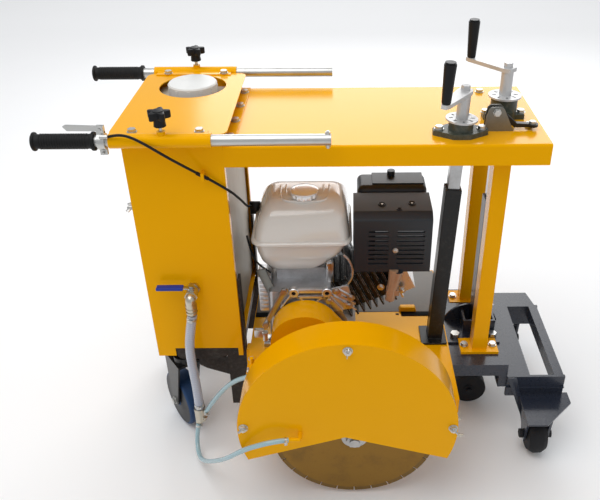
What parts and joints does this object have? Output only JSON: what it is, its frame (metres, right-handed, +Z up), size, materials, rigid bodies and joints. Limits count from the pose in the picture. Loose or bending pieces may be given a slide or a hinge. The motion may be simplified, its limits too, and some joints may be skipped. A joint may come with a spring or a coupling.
{
  "type": "walk-behind concrete saw",
  "caption": "Petrol walk-behind floor saw with a blade guard, water tank, sliding push handles, caster wheels, and cranks that lower the deck and lift the front wheels.",
  "frame": {"origin": "centre of the bounding box on the floor, directly under the middle of the machine", "axes": "+X forward, from the push handles to the guide frame; +Y to the side away from the blade; +Z up"},
  "size_m": [1.2673, 0.7368, 1.0816],
  "materials": {
    "yellow_paint": "gloss",
    "blue_black_paint": "satin",
    "black_paint": "satin",
    "brown_black_paint": "satin",
    "cream_paint": "gloss",
    "zinc_steel": "satin",
    "chrome": "polished",
    "iron": "rough, painted",
    "bare_steel": "satin",
    "engine_aluminium": "rough cast",
    "bronze_blade": "satin",
    "black_rubber": "matt",
    "wheel_rubber": "matt",
    "black_plastic": "matt",
    "tank_plastic": "matt",
    "cap_plastic": "satin",
    "blue_lever": "gloss",
    "valve_brass": "satin",
    "grey_hose": "clear, ribbed",
    "clear_hose": "clear",
    "cable_black": "matt"
  },
  "bodies": {
    "chassis": {"table": "yellow_paint", "tank_housing": "yellow_paint", "tank_cover": "yellow_paint", "water_tank": "tank_plastic", "handle_sockets": "yellow_paint", "front_posts": "yellow_paint", "front_base": "blue_black_paint", "guide_frame": "blue_black_paint", "jack_bracket": "blue_black_paint", "rear_chassis": "brown_black_paint", "crank_castings": "iron", "jack_inner_tubes": "bare_steel", "water_valve": "valve_brass", "supply_hose": "grey_hose", "hose_splitter": "valve_brass", "guard_hose_back": "clear_hose", "guard_hose_front": "clear_hose", "frame_bolts": "zinc_steel", "throttle_cable_rear": "cable_black", "throttle_cable_front": "cable_black"},
    "deck": {"deck": "yellow_paint", "jack_1_outer_tube": "black_paint", "crankcase": "engine_aluminium", "engine_cylinder": "engine_aluminium", "muffler_cover": "black_paint", "air_cleaner": "black_plastic", "fuel_tank": "cream_paint", "starter_housing": "black_paint", "belt_cover": "yellow_paint", "guard_shell": "yellow_paint", "guard_front": "yellow_paint", "drive_belt": "black_rubber", "deck_bolts": "zinc_steel"},
    "fuel_cap": {"fuel_cap": "chrome"},
    "blade": {"blade": "bronze_blade", "blade_shaft": "bare_steel"},
    "crankshaft": {"crankshaft": "bare_steel"},
    "knob_near": {"knob_near": "black_plastic"},
    "knob_far": {"knob_far": "black_plastic"},
    "handle_near": {"handle_near": "zinc_steel", "grip_near": "black_rubber", "throttle_clamp": "zinc_steel"},
    "throttle_lever": {"throttle_lever": "zinc_steel"},
    "handle_far": {"handle_far": "zinc_steel", "grip_far": "black_rubber"},
    "water_cap": {"water_cap": "cap_plastic"},
    "valve_lever": {"valve_lever": "blue_lever"},
    "lock_pawl": {"lock_pawl": "black_paint"},
    "caster_fork_near": {"caster_fork_near": "black_paint"},
    "caster_fork_far": {"caster_fork_far": "black_paint"},
    "caster_wheel_near": {"caster_wheel_near": "wheel_rubber"},
    "caster_wheel_far": {"caster_wheel_far": "wheel_rubber"},
    "front_carriage": {"front_carriage": "black_paint"},
    "front_wheels": {"front_wheels": "wheel_rubber"},
    "guide_roller_near": {"guide_roller_near": "wheel_rubber"},
    "guide_roller_far": {"guide_roller_far": "wheel_rubber"},
    "crank_1": {"crank_1": "bare_steel"},
    "crank_1_grip": {"crank_1_grip": "black_plastic"},
    "crank_2": {"crank_2": "bare_steel"},
    "crank_2_grip": {"crank_2_grip": "black_plastic"}
  },
  "joints": [
    {"name": "deck_lift", "type": "slide", "parent": "chassis", "child": "deck", "axis": [-0.0366, 0, -0.9993], "range_m": [0, 0.12], "deforming": ["guard_hose_back", "guard_hose_front", "throttle_cable_front"]},
    {"name": "crank_1_turn", "type": "hinge", "parent": "chassis", "child": "crank_1", "pos_m": [0.29097, -0.015, 0.872], "axis": [0.0366, 0, 0.9993], "range_deg": [0, 5400]},
    {"name": "crank_1_grip_spin", "type": "hinge", "parent": "crank_1", "child": "crank_1_grip", "pos_m": [0.24045, -0.10586, 0.98393], "axis": [0.0366, 0, 0.9993], "continuous": true},
    {"name": "front_wheel_lift", "type": "slide", "parent": "chassis", "child": "front_carriage", "axis": [0, 0, 1], "range_m": [0, 0.025]},
    {"name": "crank_2_turn", "type": "hinge", "parent": "chassis", "child": "crank_2", "pos_m": [0.406, 0.083, 0.872], "axis": [0, 0, 1], "range_deg": [0, 1125]},
    {"name": "crank_2_grip_spin", "type": "hinge", "parent": "crank_2", "child": "crank_2_grip", "pos_m": [0.33371, 0.16052, 0.992], "axis": [0, 0, 1], "continuous": true},
    {"name": "front_wheel_spin", "type": "hinge", "parent": "front_carriage", "child": "front_wheels", "pos_m": [0.393, 0.113, 0.049], "axis": [0, 1, 0], "continuous": true},
    {"name": "blade_spin", "type": "hinge", "parent": "deck", "child": "blade", "pos_m": [0.05, -0.296, 0.213], "axis": [0, 1, 0], "continuous": true},
    {"name": "crankshaft_spin", "type": "hinge", "parent": "deck", "child": "crankshaft", "pos_m": [-0.067, -0.087, 0.378], "axis": [0, 1, 0], "continuous": true},
    {"name": "caster_swivel_near", "type": "hinge", "parent": "chassis", "child": "caster_fork_near", "pos_m": [-0.403, -0.049, 0.262], "axis": [0, 0, 1], "range_deg": [-130, 130]},
    {"name": "caster_spin_near", "type": "hinge", "parent": "caster_fork_near", "child": "caster_wheel_near", "pos_m": [-0.42534, -0.01826, 0.08], "axis": [0.809, 0.5878, 0], "continuous": true},
    {"name": "caster_swivel_far", "type": "hinge", "parent": "chassis", "child": "caster_fork_far", "pos_m": [-0.403, 0.275, 0.262], "axis": [0, 0, 1], "continuous": true},
    {"name": "caster_spin_far", "type": "hinge", "parent": "caster_fork_far", "child": "caster_wheel_far", "pos_m": [-0.43771, 0.25954, 0.08], "axis": [-0.4067, 0.9135, 0], "continuous": true},
    {"name": "guide_roller_spin_near", "type": "hinge", "parent": "chassis", "child": "guide_roller_near", "pos_m": [0.544, -0.147, 0.055], "axis": [1, 0, 0], "continuous": true},
    {"name": "guide_roller_spin_far", "type": "hinge", "parent": "chassis", "child": "guide_roller_far", "pos_m": [0.544, 0.262, 0.055], "axis": [1, 0, 0], "continuous": true},
    {"name": "handle_slide_near", "type": "slide", "parent": "chassis", "child": "handle_near", "axis": [-1, 0, 0], "range_m": [0, 0.15], "deforming": ["throttle_cable_rear"]},
    {"name": "handle_slide_far", "type": "slide", "parent": "chassis", "child": "handle_far", "axis": [-1, 0, 0], "range_m": [0, 0.15]},
    {"name": "knob_turn_near", "type": "hinge", "parent": "chassis", "child": "knob_near", "pos_m": [-0.358, -0.112, 0.918], "axis": [0, 0, 1], "continuous": true},
    {"name": "knob_turn_far", "type": "hinge", "parent": "chassis", "child": "knob_far", "pos_m": [-0.358, 0.338, 0.918], "axis": [0, 0, 1], "continuous": true},
    {"name": "throttle_swing", "type": "hinge", "parent": "handle_near", "child": "throttle_lever", "pos_m": [-0.485, -0.112, 0.93], "axis": [0, 1, 0], "range_deg": [0, 24], "stiffness_Nm_per_rad": 0.5},
    {"name": "water_cap_turn", "type": "hinge", "parent": "chassis", "child": "water_cap", "pos_m": [-0.349, 0.218, 0.912], "axis": [0, 0, 1], "continuous": true},
    {"name": "valve_turn", "type": "hinge", "parent": "chassis", "child": "valve_lever", "pos_m": [-0.344, -0.102, 0.5093], "axis": [0, 0, 1], "range_deg": [0, 90]},
    {"name": "lock_pawl_swing", "type": "hinge", "parent": "chassis", "child": "lock_pawl", "pos_m": [0.373, 0.009, 0.917], "axis": [0, -1, 0], "range_deg": [0, 60]},
    {"name": "fuel_cap_turn", "type": "hinge", "parent": "deck", "child": "fuel_cap", "pos_m": [-0.068, 0.021, 0.719], "axis": [0, 0, 1], "range_deg": [0, 90]}
  ],
  "couplings": [
    {"joint": "crank_1_turn", "follows": "deck_lift", "rad_per_m": 785.4},
    {"joint": "crank_2_turn", "follows": "front_wheel_lift", "rad_per_m": 785.4},
    {"joint": "crankshaft_spin", "follows": "blade_spin", "ratio": 1.1923}
  ]
}
